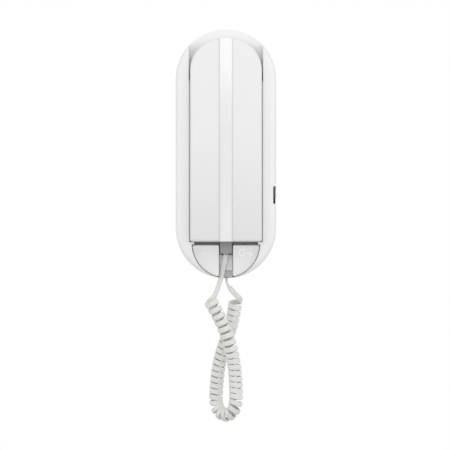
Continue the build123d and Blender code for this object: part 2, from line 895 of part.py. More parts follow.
with BuildPart() as hook_switch:
    fork_start = flange_width / 2 + fork_slot
    with BuildSketch(facing_room(board_front)):
        with Locations((fork_start, hook_z)):
            Rectangle(fork_width, fork_height, align=(Align.MIN, Align.CENTER))
    extrude(amount=floor_under - seat_gap - board_front)
    with BuildSketch(facing_room(board_front + fork_base)):
        with Locations((fork_start, hook_z)):
            Rectangle(
                fin_length - fork_slot + running_gap,
                fork_slot,
                align=(Align.MIN, Align.CENTER),
            )
    extrude(amount=floor_under, mode=Mode.SUBTRACT)

# Ringer: rim, basket cone and magnet under the slotted floor
with BuildPart() as ringer:
    with BuildSketch(facing_room(floor_under - ringer_rim)):
        with Locations((0, ringer_z)):
            Circle(ringer_radius)
    extrude(amount=ringer_rim)
    with BuildSketch(facing_room(floor_under - ringer_height)):
        with Locations((0, ringer_z)):
            Circle(ringer_magnet_radius)
    extrude(amount=ringer_height - ringer_rim, taper=ringer_cone_angle)

# Jack and plug at the foot of the base
with BuildPart() as base_jack:
    foot = Plane(origin=place(jack_x, jack_middle, jack_end), x_dir=(0, 1, 0), z_dir=(0, 0, 1))
    with BuildSketch(foot):
        Rectangle(jack_front_depth - board_front, 2 * jack_half)
    extrude(amount=jack_length)
    with BuildSketch(foot):
        Rectangle(plug_width + 2 * plug_gap, plug_height + 2 * plug_gap)
    extrude(amount=plug_length + plug_gap, mode=Mode.SUBTRACT)

with BuildPart() as base_plug:
    add(modular_plug(foot))

with BuildPart() as light_button:
    add(quarter_key(-1))

with BuildPart() as door_button:
    add(quarter_key(1))

# Rear shell of the handset with its cups and finger scoop
with BuildPart() as handset_back:
    with BuildSketch(facing_room(handset_back_depth)):
        add(handset_outline())
    extrude(amount=parting_depth - handset_back_depth)
    fillet(handset_back.faces().sort_by(Axis.Y)[-1].edges(), handset_back_edge)
    with BuildSketch(facing_room(cup_face)):
        with Locations((0, ear_centre)):
            Circle(ear_cup_radius)
        with Locations((0, mic_centre)):
            Circle(mic_cup_radius)
    extrude(amount=handset_floor - cup_face)
    chamfer(handset_back.faces().sort_by(Axis.Y)[-2:].edges(), cup_edge)
    with BuildSketch(facing_room(handset_floor)):
        add(handset_outline(wall))
    extrude(amount=parting_depth - handset_floor, mode=Mode.SUBTRACT)
    with BuildSketch(facing_room(cup_floor)):
        with Locations((0, ear_centre)):
            Circle(ear_cup_radius - wall)
        with Locations((0, mic_centre)):
            Circle(mic_cup_radius - wall)
    extrude(amount=handset_floor - cup_floor, mode=Mode.SUBTRACT)
    with BuildSketch(Plane.YZ):
        with Locations((-scoop_axis_depth, scoop_centre)):
            Circle(scoop_radius + wall)
        with Locations((-handset_back_depth, scoop_centre)):
            Rectangle(
                scoop_radius,
                2 * scoop_radius,
                align=(Align.MAX, Align.CENTER),
                mode=Mode.INTERSECT,
            )
    extrude(amount=handset_half - wall / 2, both=True)
    with BuildSketch(Plane.YZ):
        with Locations((-scoop_axis_depth, scoop_centre)):
            Circle(scoop_radius)
    extrude(amount=handset_width, both=True, mode=Mode.SUBTRACT)
    with BuildSketch(facing_room(cup_face)):
        with Locations((0, ear_centre)):
            Circle(ear_hole_radius)
            with PolarLocations(ear_hole_ring, ear_hole_count):
                Circle(ear_hole_radius)
        with Locations((0, mic_centre)):
            Circle(mic_hole_radius)
            with PolarLocations(mic_hole_ring, mic_hole_count):
                Circle(mic_hole_radius)
    extrude(amount=wall, mode=Mode.SUBTRACT)
    with BuildSketch(facing_room(cup_floor)):
        with Locations((0, mic_centre)):
            Circle(boot_radius + fit_gap + boot_ring_wall)
            Circle(boot_radius + fit_gap, mode=Mode.SUBTRACT)
    extrude(amount=boot_ring_height)
    # passage for the sleeve of the cord socket
    with BuildSketch(Plane.XY.offset(handset_bottom)):
        with Locations((0, -tongue_middle)):
            Rectangle(sleeve_width + 2 * plug_gap, sleeve_height + 2 * plug_gap)
    extrude(amount=wall, mode=Mode.SUBTRACT)
    # screw towers
    with BuildSketch(facing_room(handset_floor)):
        with Locations(*handset_tower_places()):
            Circle(tower_radius)
    extrude(amount=parting_depth - handset_floor)
    with BuildSketch(facing_room(handset_back_depth)):
        with Locations(*handset_tower_places()):
            Circle(screw_head_radius + seat_gap)
    extrude(amount=tower_sink, mode=Mode.SUBTRACT)
    with BuildSketch(facing_room(handset_back_depth)):
        with Locations(*handset_tower_places()):
            Circle(screw_radius + pilot_gap)
    extrude(amount=parting_depth, mode=Mode.SUBTRACT)

# Cord socket: a block under the foot with a sleeve through it, up to the jack
with BuildPart() as cord_socket:
    with BuildSketch(Plane.XY.offset(tongue_end)):
        with Locations((0, -tongue_middle)):
            Rectangle(tongue_width, tongue_thickness)
    extrude(amount=tongue_length)
    fillet(cord_socket.edges().filter_by(Axis.Y).group_by(Axis.Z)[0], tongue_edge)
    with BuildSketch(Plane.XY.offset(handset_bottom)):
        with Locations((0, -tongue_middle)):
            Rectangle(sleeve_width, sleeve_height)
    extrude(amount=wall)
    with BuildSketch(Plane.XY.offset(tongue_end)):
        with Locations((0, -tongue_middle)):
            Rectangle(plug_width + 2 * plug_gap, plug_height + 2 * plug_gap)
    extrude(amount=tongue_length + wall, mode=Mode.SUBTRACT)

# Front shell with the groove for the trim and a lip into the rear shell
with BuildPart() as handset_front:
    with BuildSketch(facing_room(parting_depth)):
        add(handset_outline())
    extrude(amount=handset_front_depth - parting_depth)
    fillet(handset_front.faces().sort_by(Axis.Y)[0].edges(), handset_front_edge)
    with BuildSketch(facing_room(parting_depth)):
        add(handset_outline(wall))
    extrude(amount=handset_ceiling - parting_depth, mode=Mode.SUBTRACT)
    with BuildSketch(facing_room(parting_depth)):
        add(handset_outline(wall))
        add(handset_outline(wall + fit_gap + lip_thickness), mode=Mode.SUBTRACT)
    extrude(amount=lip_height)
    with BuildSketch(facing_room(parting_depth - lip_height)):
        add(handset_outline(wall + fit_gap))
        add(handset_outline(wall + fit_gap + lip_thickness), mode=Mode.SUBTRACT)
    extrude(amount=lip_height)
    with BuildSketch(facing_room(parting_depth)):
        with Locations(*handset_tower_places()):
            Circle(boss_radius)
    extrude(amount=handset_ceiling - parting_depth)
    with BuildSketch(facing_room(parting_depth)):
        with Locations(*handset_tower_places()):
            Circle(screw_radius + pilot_gap)
    extrude(amount=screw_grip + wall, mode=Mode.SUBTRACT)
    with BuildSketch(facing_room(trim_floor)):
        Rectangle(trim_width + 2 * plug_gap, base_height)
    extrude(amount=handset_front_depth - trim_floor, mode=Mode.SUBTRACT)

with BuildPart() as handset_trim:
    with BuildSketch(Plane.XY.offset(handset_bottom)):
        with BuildLine():
            Polyline(
                (-trim_width / 2, -trim_floor - trim_seat - trim_side_height),
                (-trim_width / 2, -trim_floor),
                (trim_width / 2, -trim_floor),
                (trim_width / 2, -trim_floor - trim_seat - trim_side_height),
            )
            ThreePointArc(
                (trim_width / 2, -trim_floor - trim_seat - trim_side_height),
                (0, -trim_floor - trim_seat - trim_side_height - trim_crown),
                (-trim_width / 2, -trim_floor - trim_seat - trim_side_height),
            )
        make_face()
    extrude(amount=handset_top - handset_bottom)
    with BuildSketch(facing_room(trim_floor)):
        add(handset_outline(trim_end_inset))
    extrude(amount=base_depth, mode=Mode.INTERSECT)

handset_screws_part = self_tapping_screw(
    handset_tower_places(),
    handset_back_depth + tower_sink - screw_head_height,
    parting_depth + screw_grip - handset_back_depth - tower_sink,
)
with BuildPart() as handset_screws:
    add(handset_screws_part)

# Capsules
with BuildPart() as receiver_gasket:
    with BuildSketch(facing_room(cup_floor)):
        with Locations((0, ear_centre)):
            Circle(ear_cup_radius - wall - running_gap)
            Circle(gasket_bore_radius, mode=Mode.SUBTRACT)
    extrude(amount=gasket_thickness)

with BuildPart() as receiver_capsule:
    with BuildSketch(facing_room(gasket_top)):
        with Locations((0, ear_centre)):
            Circle(receiver_radius)
    extrude(amount=receiver_frame_height)
    with BuildSketch(facing_room(gasket_top + receiver_frame_height)):
        with Locations((0, ear_centre)):
            Circle(receiver_magnet_radius)
    extrude(amount=receiver_height - receiver_frame_height)

with BuildPart() as mic_boot:
    with BuildSketch(facing_room(cup_floor)):
        with Locations((0, mic_centre)):
            Circle(boot_radius)
            Circle(boot_port_radius, mode=Mode.SUBTRACT)
    extrude(amount=boot_height)
    with BuildSketch(facing_room(cup_floor + boot_floor)):
        with Locations((0, mic_centre)):
            Circle(mic_radius)
    extrude(amount=boot_height, mode=Mode.SUBTRACT)

with BuildPart() as microphone:
    with BuildSketch(facing_room(cup_floor + boot_floor)):
        with Locations((0, mic_centre)):
            Circle(mic_radius)
    extrude(amount=mic_height)

# Jack and plug in the foot of the handset
with BuildPart() as handset_jack:
    opening = handset_bottom + wall
    with BuildSketch(Plane.XY.offset(opening)):
        with Locations((0, -handset_floor)):
            Rectangle(
                sleeve_width,
                tongue_middle + sleeve_height / 2 - handset_floor,
                align=(Align.CENTER, Align.MAX),
            )
    extrude(amount=handset_jack_length)
    with BuildSketch(Plane.XY.offset(opening)):
        with Locations((0, -tongue_middle)):
            Rectangle(plug_width + 2 * plug_gap, plug_height + 2 * plug_gap)
    extrude(amount=handset_jack_recess, mode=Mode.SUBTRACT)

with BuildPart() as handset_plug:
    add(
        modular_plug(
            Plane(
                origin=place(0, tongue_middle, tongue_end + plug_recess),
                x_dir=(1, 0, 0),
                z_dir=(0, 0, 1),
            )
        )
    )

# The coil: one unbroken flat cord wound on its edge-free face round the route
axis_points = [place(*point) for point in coil_route]
axis_radii = corner_radii(axis_points)
with BuildLine() as coil_line:
    FilletPolyline(*axis_points, radius=axis_radii)
coil_axis = coil_line.wires()[0]
bend_side = Vector(*bend_side_share, 0)


def axis_frame(share):
    centre = coil_axis @ share
    along = coil_axis % share
    side = (bend_side - along * bend_side.dot(along)).normalized()
    return centre, along, side, along.cross(side)


def turn_spacing(share):
    rise = min(max((share - bend_from_share) / bend_ramp_share, 0), 1)
    fall = min(max((bend_to_share - share) / bend_ramp_share, 0), 1)
    grown = min(rise, fall)
    return 1 + (bend_pitch_share - 1) * grown**2 * (3 - 2 * grown)


def phase_towards(direction, share):
    centre, along, side, across = axis_frame(share)
    return math.atan2(direction.dot(across), direction.dot(side))


def smoothed(count):
    shares = np.linspace(0, 1, count)
    density = np.array([1 / turn_spacing(share) for share in shares])
    steps = (density[1:] + density[:-1]) / 2 / (count - 1)
    return shares, np.concatenate([[0], np.cumsum(steps)])


axis_shares, wound = smoothed(winding_samples)
start_phase = phase_towards(Vector(0, 1, 0), 0)
end_phase = phase_towards(Vector(1, 0, 0), 1)
full_turn = 2 * math.pi
swing = ((start_phase - end_phase) % full_turn) / full_turn
coil_turns = round(wound[-1] * coil_axis.length / coil_pitch - swing) + swing


def on_coil(turn, radius):
    share = float(np.interp(turn / coil_turns, wound / wound[-1], axis_shares))
    centre, along, side, across = axis_frame(min(max(share, 0), 1))
    angle = start_phase - full_turn * turn
    outward = side * math.cos(angle) + across * math.sin(angle)
    return centre + outward * radius, outward


def coil_direction(turn, radius):
    ahead = on_coil(min(turn + tangent_step, coil_turns), radius)[0]
    behind = on_coil(max(turn - tangent_step, 0), radius)[0]
    return (ahead - behind).normalized()


def station(point, along, thin):
    return point, along, thin, point + thin * guide_offset, along


def carried(thin, before, after):
    """The thin direction taken round a bend from one direction to another."""
    bent = thin - (before + after) * (thin.dot(after) / (1 + before.dot(after)))
    return bent + after * (2 * thin.dot(before))


def biarc(start, start_along, finish, finish_along):
    """Two tangent arcs between two places with given directions."""
    chord = finish - start
    straight = start_along.dot(finish_along) > 1 - straight_share
    if straight and chord.normalized().dot(start_along) > 1 - straight_share:
        return [Edge.make_line(start, finish)]
    square = 2 * start_along.dot(finish_along) - 2
    linear = -2 * chord.dot(start_along + finish_along)
    constant = chord.dot(chord)
    root = math.sqrt(linear**2 - 4 * square * constant)
    reach = min(
        value
        for value in ((-linear + root) / (2 * square), (-linear - root) / (2 * square))
        if value > 0
    )
    corner = start + start_along * reach
    last_corner = finish - finish_along * reach
    joint = (corner + last_corner) / 2
    joint_along = (last_corner - corner).normalized()
    return [
        Edge.make_tangent_arc(start, start_along, joint),
        Edge.make_tangent_arc(joint, joint_along, finish),
    ]


def chain(line, place_at, along_at):
    edges = []
    for here, there in zip(line, line[1:]):
        edges += biarc(here[place_at], here[along_at], there[place_at], there[along_at])
    return edges


stations = []
station_count = round(coil_turns * quarters)
for index in range(station_count + 1):
    turn = coil_turns * index / station_count
    point, outward = on_coil(turn, coil_radius)
    along = coil_direction(turn, coil_radius)
    thin = (outward - along * outward.dot(along)).normalized()
    guide_along = coil_direction(turn, coil_radius + guide_offset)
    stations.append((point, along, thin, point + thin * guide_offset, guide_along))

# straight stubs at both ends, as long as the cord is wide
handset_stub = Vector(*handset_stub_share).normalized()
first = stations[0]
handset_stub_end = first[0] - (first[1] + handset_stub).normalized() * handset_stub_lead
handset_thin = carried(first[2], first[1], handset_stub)
coil_start = handset_stub_end - handset_stub * cord_width
base_stub = Vector(*base_stub_share).normalized()
last = stations[-1]
base_stub_end = last[0] + (last[1] + base_stub).normalized() * base_stub_lead
base_thin = carried(last[2], last[1], base_stub)
coil_end = base_stub_end + base_stub * cord_width
stations = (
    [
        station(coil_start, handset_stub, handset_thin),
        station(handset_stub_end, handset_stub, handset_thin),
    ]
    + stations
    + [
        station(base_stub_end, base_stub, base_thin),
        station(coil_end, base_stub, base_thin),
    ]
)

coil_spans = []
for first_index in range(0, len(stations) - 1, span_stations):
    span = stations[first_index : first_index + span_stations + 1]
    with BuildPart() as coil_span:
        with BuildSketch(Plane(origin=span[0][0], x_dir=span[0][2], z_dir=span[0][1])):
            Rectangle(cord_thickness, cord_width)
        sweep(path=Wire(chain(span, 0, 1)), binormal=Wire(chain(span, 3, 4)))
    coil_spans.append(coil_span.part)
with BuildPart() as cord_coil:
    add(coil_spans)

# the least distance of the coil to itself, measured on points of its skin
rings = []
for here, there in zip(stations, stations[1:]):
    arcs = biarc(here[0], here[1], there[0], there[1])
    for arc in arcs:
        for share in (0, 1 / 3, 2 / 3):
            point = arc @ share
            along = arc % share
            thin = (here[2] + there[2]).normalized()
            thin = (thin - along * thin.dot(along)).normalized()
            broad = along.cross(thin)
            rings.append(
                [
                    tuple(point + thin * (u * cord_thickness / 2) + broad * (v * cord_width / 2))
                    for u, v in ((-1, -1), (-1, 0), (-1, 1), (0, 1), (1, 1), (1, 0), (1, -1), (0, -1))
                ]
            )
skin = np.array(rings)
apart = 2 * 3 * 2
gaps = [
    float(np.linalg.norm(skin[i][:, None, None] - skin[i + apart :][None], axis=-1).min())
    for i in range(len(skin) - apart)
]
radii = [edge.radius for edge in chain(stations, 0, 1) if edge.geom_type == GeomType.CIRCLE]
print("coil turns", round(coil_turns, 2), "pitch", round(coil_axis.length / coil_turns, 2))
print("axis corner radii", [round(radius, 1) for radius in axis_radii])
print("cord arc radii", round(min(radii), 2), "to", round(max(radii), 2))
nearest = int(np.argmin(gaps))
print("least gap of the coil to itself", round(min(gaps), 2), "wanted above", least_gap)
print("at", nearest, "of", len(gaps), np.round(skin[nearest].mean(axis=0), 1))
print("coil starts", coil_start, "and ends", coil_end, "thin", handset_thin, base_thin)
print("cord in the coil", round(sum(edge.length for edge in chain(stations, 0, 1)), 1))

# Free stretches between the coil and the two plugs
handset_points = [place(*point) for point in handset_lead_route]
handset_points += [coil_start - handset_stub * handset_last_run, coil_start]
handset_thins = [Vector(0, 1, 0)] * (len(handset_points) - 2) + [handset_thin] * 2
with BuildPart() as cord_handset_lead:
    add(cord_run(handset_points, handset_thins))

base_points = [place(*point) for point in base_lead_route]
base_points += [coil_end + base_stub * base_last_run, coil_end]
base_thins = [Vector(1, 0, 0)] * (len(base_points) - 2) + [base_thin] * 2
with BuildPart() as cord_base_lead:
    add(cord_run(base_points, base_thins))

os.makedirs("parts", exist_ok=True)
wall_plate.part.label = "wall_plate"
export_step(wall_plate.part, "parts/wall_plate.step")
base_cover.part.label = "base_cover"
export_step(base_cover.part, "parts/base_cover.step")
main_board.part.label = "main_board"
export_step(main_board.part, "parts/main_board.step")
board_screws.part.label = "board_screws"
export_step(board_screws.part, "parts/board_screws.step")
terminal_block.part.label = "terminal_block"
export_step(terminal_block.part, "parts/terminal_block.step")
setting_socket.part.label = "setting_socket"
export_step(setting_socket.part, "parts/setting_socket.step")
capacitors.part.label = "capacitors"
export_step(capacitors.part, "parts/capacitors.step")
transformer.part.label = "transformer"
export_step(transformer.part, "parts/transformer.step")
voice_chip.part.label = "voice_chip"
export_step(voice_chip.part, "parts/voice_chip.step")
light_switch.part.label = "light_switch"
export_step(light_switch.part, "parts/light_switch.step")
door_switch.part.label = "door_switch"
export_step(door_switch.part, "parts/door_switch.step")
hook_plunger.part.label = "hook_plunger"
export_step(hook_plunger.part, "parts/hook_plunger.step")
hook_switch.part.label = "hook_switch"
export_step(hook_switch.part, "parts/hook_switch.step")
volume_switch.part.label = "volume_switch"
export_step(volume_switch.part, "parts/volume_switch.step")
volume_knob.part.label = "volume_knob"
export_step(volume_knob.part, "parts/volume_knob.step")
ringer.part.label = "ringer"
export_step(ringer.part, "parts/ringer.step")
base_jack.part.label = "base_jack"
export_step(base_jack.part, "parts/base_jack.step")
base_plug.part.label = "base_plug"
export_step(base_plug.part, "parts/base_plug.step")
light_button.part.label = "light_button"
export_step(light_button.part, "parts/light_button.step")
door_button.part.label = "door_button"
export_step(door_button.part, "parts/door_button.step")
handset_back.part.label = "handset_back"
export_step(handset_back.part, "parts/handset_back.step")
cord_socket.part.label = "cord_socket"
export_step(cord_socket.part, "parts/cord_socket.step")
handset_front.part.label = "handset_front"
export_step(handset_front.part, "parts/handset_front.step")
handset_trim.part.label = "handset_trim"
export_step(handset_trim.part, "parts/handset_trim.step")
handset_screws.part.label = "handset_screws"
export_step(handset_screws.part, "parts/handset_screws.step")
receiver_gasket.part.label = "receiver_gasket"
export_step(receiver_gasket.part, "parts/receiver_gasket.step")
receiver_capsule.part.label = "receiver_capsule"
export_step(receiver_capsule.part, "parts/receiver_capsule.step")
mic_boot.part.label = "mic_boot"
export_step(mic_boot.part, "parts/mic_boot.step")
microphone.part.label = "microphone"
export_step(microphone.part, "parts/microphone.step")
handset_jack.part.label = "handset_jack"
export_step(handset_jack.part, "parts/handset_jack.step")
handset_plug.part.label = "handset_plug"
export_step(handset_plug.part, "parts/handset_plug.step")
cord_handset_lead.part.label = "cord_handset_lead"
export_step(cord_handset_lead.part, "parts/cord_handset_lead.step")
cord_coil.part.label = "cord_coil"
export_step(cord_coil.part, "parts/cord_coil.step")
cord_base_lead.part.label = "cord_base_lead"
export_step(cord_base_lead.part, "parts/cord_base_lead.step")
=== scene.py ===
import json
import math

import bmesh
import bpy
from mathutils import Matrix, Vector


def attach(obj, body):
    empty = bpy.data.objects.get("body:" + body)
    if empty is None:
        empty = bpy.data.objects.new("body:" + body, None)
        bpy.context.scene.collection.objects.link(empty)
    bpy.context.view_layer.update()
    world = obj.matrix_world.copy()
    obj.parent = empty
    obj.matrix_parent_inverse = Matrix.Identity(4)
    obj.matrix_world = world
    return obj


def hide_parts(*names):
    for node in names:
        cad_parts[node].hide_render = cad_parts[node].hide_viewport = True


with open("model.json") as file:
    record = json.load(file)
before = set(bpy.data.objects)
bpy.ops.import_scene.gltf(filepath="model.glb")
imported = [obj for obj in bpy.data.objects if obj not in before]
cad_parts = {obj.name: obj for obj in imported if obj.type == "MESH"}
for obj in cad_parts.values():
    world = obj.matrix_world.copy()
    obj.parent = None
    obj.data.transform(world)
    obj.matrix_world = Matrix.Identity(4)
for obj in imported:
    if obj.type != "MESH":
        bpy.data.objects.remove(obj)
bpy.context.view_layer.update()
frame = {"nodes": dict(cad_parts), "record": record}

MM = 0.001

# The photograph's view: straight on, from far away, 394 mm across
VIEW_CENTRE_X = -0.84 * MM
VIEW_CENTRE_Z = -62.5 * MM
VIEW_WIDTH = 394 * MM
VIEW_DISTANCE = 4.0
VIEW_PLANE = -30 * MM
SENSOR_WIDTH = 36.0
VIEW_REACH = 50.0


def place(x, depth, z):
    """A point by its x, its depth from the wall and its z, in millimetres."""
    return Vector((x * MM, -depth * MM, z * MM))


def add_object(name, data):
    """A new object that holds the data, linked into the scene."""
    added = bpy.data.objects.new(name, data)
    bpy.context.scene.collection.objects.link(added)
    return added


def mesh_object(name, form):
    """A new object from a finished bmesh, which is freed."""
    mesh = bpy.data.meshes.new(name)
    form.to_mesh(mesh)
    form.free()
    return add_object(name, mesh)


# Camera
camera_data = bpy.data.cameras.new("front_camera")
camera_data.sensor_width = SENSOR_WIDTH
camera_data.lens = SENSOR_WIDTH * (VIEW_DISTANCE + VIEW_PLANE) / VIEW_WIDTH
camera_data.clip_end = VIEW_REACH
camera = add_object("front_camera", camera_data)
camera.location = (VIEW_CENTRE_X, -VIEW_DISTANCE, VIEW_CENTRE_Z)
camera.rotation_euler = (math.radians(90), 0, 0)
bpy.context.scene.camera = camera

# Cord: its section
CORD_WIDTH = 4.6 * MM
CORD_THICKNESS = 2.3 * MM
SECTION_LOBES = 4
STEPS_PER_LOBE = 3
FLAT_SHARE = 0.70
VALLEY_SHARE = 0.03
RIM_SHARE = 0.05
SEAM_WELD = 0.0001 * MM

# Cord: its coil
COIL_RADIUS = 4.95 * MM
COIL_TURNS = 39.99
POINTS_PER_TURN = 16
AXIS_RESOLUTION = 24
CORD_RESOLUTION = 3
SPLINE_ORDER = 3
# Helix points at each end, past which the cord settles into its lead
SETTLING_POINTS = 2
# Turn spacing along the coil, as shares of its length and millimetres
SPACING_SHARES = (0.0, 0.19, 0.23, 0.39, 0.44, 0.59, 0.64, 0.955, 0.98, 1.0)
SPACING = (6.25, 6.25, 5.2, 5.2, 6.3, 6.3, 5.15, 5.15, 5.6, 5.6)
# How far each turn leans, as rise per reach to the right and towards the wall
LEAN_SHARES = (0.0, 0.16, 0.24, 0.32, 0.39, 0.45, 0.58, 0.64, 1.0)
LEAN_RIGHT = (0.27, 0.24, 0.17, 0.05, 0.0, 0.0, 0.0, 0.05, 0.05)
LEAN_BACK = (0.04, 0.06, 0.16, 0.22, 0.2, 0.0, 0.0, 0.16, 0.2)
# A direction square to the plane of the coil's hairpin
BEND_SIDE = Vector((0.744, 0.668, 0.0))

# Cord: the coil's route is that of the part's source, the leads are drawn finer
COIL_ROUTE = [
    place(-13.9, 31.0, -128.6),
    place(-9.3, 31.0, -136.7),
    place(-3.6, 30.5, -147.6),
    place(0.4, 30.0, -158.0),
    place(3.7, 29.5, -168.0),
    place(6.6, 29.0, -180.0),
    place(8.2, 28.6, -193.0),
    place(8.9, 28.3, -207.0),
    place(8.75, 28.0, -221.4),
    place(3.6, 22.3, -229.1),
    place(-3.6, 14.2, -229.1),
    place(-8.75, 8.5, -221.4),
    place(-8.6, 8.6, -208.0),
    place(-7.4, 8.8, -194.0),
    place(-5.4, 9.1, -182.0),
    place(-2.3, 9.4, -171.0),
    place(1.1, 9.7, -161.5),
    place(4.6, 10.0, -151.0),
    place(7.0, 10.2, -140.5),
    place(8.2, 10.3, -130.0),
]
HANDSET_LEAD = [
    place(0.0, 27.0, -87.2),
    place(-0.5, 27.0, -91.5),
    place(-1.9, 26.8, -98.0),
    place(-3.3, 26.4, -104.7),
    place(-4.6, 25.9, -110.0),
    place(-6.3, 25.85, -115.3),
    place(-8.1, 25.85, -120.6),
    place(-9.9, 25.85, -124.6),
    place(-11.7, 25.85, -126.9),
]
BASE_LEAD = [
    place(11.9, 17.0, -126.3),
    place(10.6, 15.8, -125.9),
    place(7.6, 15.7, -122.8),
    place(2.8, 16.5, -117.0),
    place(0.3, 16.5, -112.9),
    place(0.3, 16.5, -108.0),
]

# The way across the cord's thin side at shares of each lead, from the coil on
TO_WALL = Vector((0, 1, 0))
TO_RIGHT = Vector((1, 0, 0))
WALL_AND_RIGHT = Vector((0.5, 0.86, 0))
HANDSET_TWIST = [(0.3, WALL_AND_RIGHT), (0.6, WALL_AND_RIGHT), (1.0, TO_WALL)]
BASE_TWIST = [(0.3, TO_WALL), (0.55, TO_WALL), (0.8, TO_RIGHT), (1.0, TO_RIGHT)]


def read_spline(points, resolution):
    """The points of the smooth spline that has these control points."""
    curve = bpy.data.curves.new("route", "CURVE")
    curve.dimensions = "3D"
    curve.resolution_u = resolution
    spline = curve.splines.new("NURBS")
    spline.points.add(len(points) - 1)
    for control, point in zip(spline.points, points):
        control.co = (*point, 1.0)
    spline.order_u = SPLINE_ORDER
    spline.use_endpoint_u = True
    holder = add_object("route", curve)
    mesh = bpy.data.meshes.new_from_object(holder)
    line = [vertex.co.copy() for vertex in mesh.vertices]
    bpy.data.objects.remove(holder)
    bpy.data.curves.remove(curve)
    bpy.data.meshes.remove(mesh)
    return line


def lengths_along(line):
    """The length of the line from its start to each of its points."""
    total = [0.0]
    for here, there in zip(line, line[1:]):
        total.append(total[-1] + (there - here).length)
    return total


def directions_along(line):
    """The way that the line runs at each of its points."""
    last = len(line) - 1
    return [
        (line[min(index + 1, last)] - line[max(index - 1, 0)]).normalized()
        for index in range(last + 1)
    ]


def nearest_index(line, point):
    return min(range(len(line)), key=lambda index: (line[index] - point).length)


def look_up(value, keys, values):
    """Straight-line look-up between sorted keys, for numbers and vectors."""
    low, high = 0, len(keys) - 1
    while high - low > 1:
        middle = (low + high) // 2
        if keys[middle] <= value:
            low = middle
        else:
            high = middle
    span = keys[high] - keys[low]
    share = (value - keys[low]) / span if span else 0.0
    share = min(max(share, 0.0), 1.0)
    return values[low] * (1 - share) + values[high] * share


coil_axis = read_spline(COIL_ROUTE, AXIS_RESOLUTION)
axis_lengths = lengths_along(coil_axis)
axis_shares = [length / axis_lengths[-1] for length in axis_lengths]
axis_directions = directions_along(coil_axis)

# The share of all turns that is wound up to each point of the axis
wound = [0.0]
for here, there in zip(axis_shares, axis_shares[1:]):
    spacing = look_up((here + there) / 2, SPACING_SHARES, SPACING)
    wound.append(wound[-1] + (there - here) / spacing)
wound = [value / wound[-1] for value in wound]


def axis_frame(share):
    """The axis point at a share of its length, and two ways square to the axis."""
    centre = look_up(share, axis_shares, coil_axis)
    along = look_up(share, axis_shares, axis_directions).normalized()
    side = (BEND_SIDE - along * BEND_SIDE.dot(along)).normalized()
    return centre, side, along.cross(side)


_, first_side, first_across = axis_frame(0.0)
start_phase = math.atan2(TO_WALL.dot(first_across), TO_WALL.dot(first_side))
helix_points = []
helix_outward = []
helix_count = round(COIL_TURNS * POINTS_PER_TURN)
spline_shrink = math.cos(math.pi / POINTS_PER_TURN) ** 0.5
for index in range(helix_count + 1):
    turned = index / helix_count
    share = look_up(turned, wound, axis_shares)
    centre, side, across = axis_frame(share)
    angle = start_phase - 2 * math.pi * COIL_TURNS * turned
    outward = side * math.cos(angle) + across * math.sin(angle)
    rise = outward.x * look_up(share, LEAN_SHARES, LEAN_RIGHT)
    rise += outward.y * look_up(share, LEAN_SHARES, LEAN_BACK)
    upward = side.cross(across)
    upward *= math.copysign(1, upward.z)
    reach = outward + upward * rise
    helix_points.append(centre + reach * COIL_RADIUS / spline_shrink)
    helix_outward.append(outward)

cord_line = read_spline(HANDSET_LEAD + helix_points + BASE_LEAD, CORD_RESOLUTION)
cord_lengths = lengths_along(cord_line)


def squared(direction, along):
    """The direction with its share along the cord taken out."""
    return (direction - along * direction.dot(along)).normalized()


def cord_frames():
    """The way along the cord and across its thin side, at each point of its line."""
    alongs = directions_along(cord_line)
    first_turn = nearest_index(cord_line, helix_points[SETTLING_POINTS])
    last_turn = nearest_index(cord_line, helix_points[-1 - SETTLING_POINTS])
    coil_start = cord_lengths[first_turn]
    coil_length = cord_lengths[last_turn] - coil_start
    thins = [None] * len(cord_line)
    for index in range(first_turn, last_turn + 1):
        turned = (cord_lengths[index] - coil_start) / coil_length
        near = SETTLING_POINTS + turned * (helix_count - 2 * SETTLING_POINTS)
        low = int(near)
        following = helix_outward[min(low + 1, helix_count)]
        outward = helix_outward[low].lerp(following, near - low)
        thins[index] = squared(outward, alongs[index])
    settle(thins, alongs, range(first_turn - 1, -1, -1), HANDSET_TWIST)
    settle(thins, alongs, range(last_turn + 1, len(cord_line)), BASE_TWIST)
    return alongs, thins


def settle(thins, alongs, indices, wanted):
    """Carries the thin direction on, then twists it through the wanted directions."""
    current = thins[indices[0] - indices.step]
    for index in indices:
        current = squared(current, alongs[index])
        thins[index] = current
    start = cord_lengths[indices[0]]
    span = cord_lengths[indices[-1]] - start
    shares = [(cord_lengths[index] - start) / span for index in indices]
    keys, twists = [0.0], [0.0]
    for share, direction in wanted:
        count = min(range(len(indices)), key=lambda item: abs(shares[item] - share))
        index = indices[count]
        across = alongs[index].cross(thins[index])
        twist = math.atan2(direction.dot(across), direction.dot(thins[index]))
        twist -= math.pi * round((twist - twists[-1]) / math.pi)
        keys.append(share)
        twists.append(twist)
    for share, index in zip(shares, indices):
        nearest = max(item for item in range(len(keys)) if keys[item] <= share or item == 0)
        following = min(nearest + 1, len(keys) - 1)
        width = keys[following] - keys[nearest]
        part = (share - keys[nearest]) / width if width else 0.0
        eased = part * part * (3 - 2 * part)
        twist = twists[nearest] * (1 - eased) + twists[following] * eased
        across = alongs[index].cross(thins[index])
        thins[index] = thins[index] * math.cos(twist) + across * math.sin(twist)


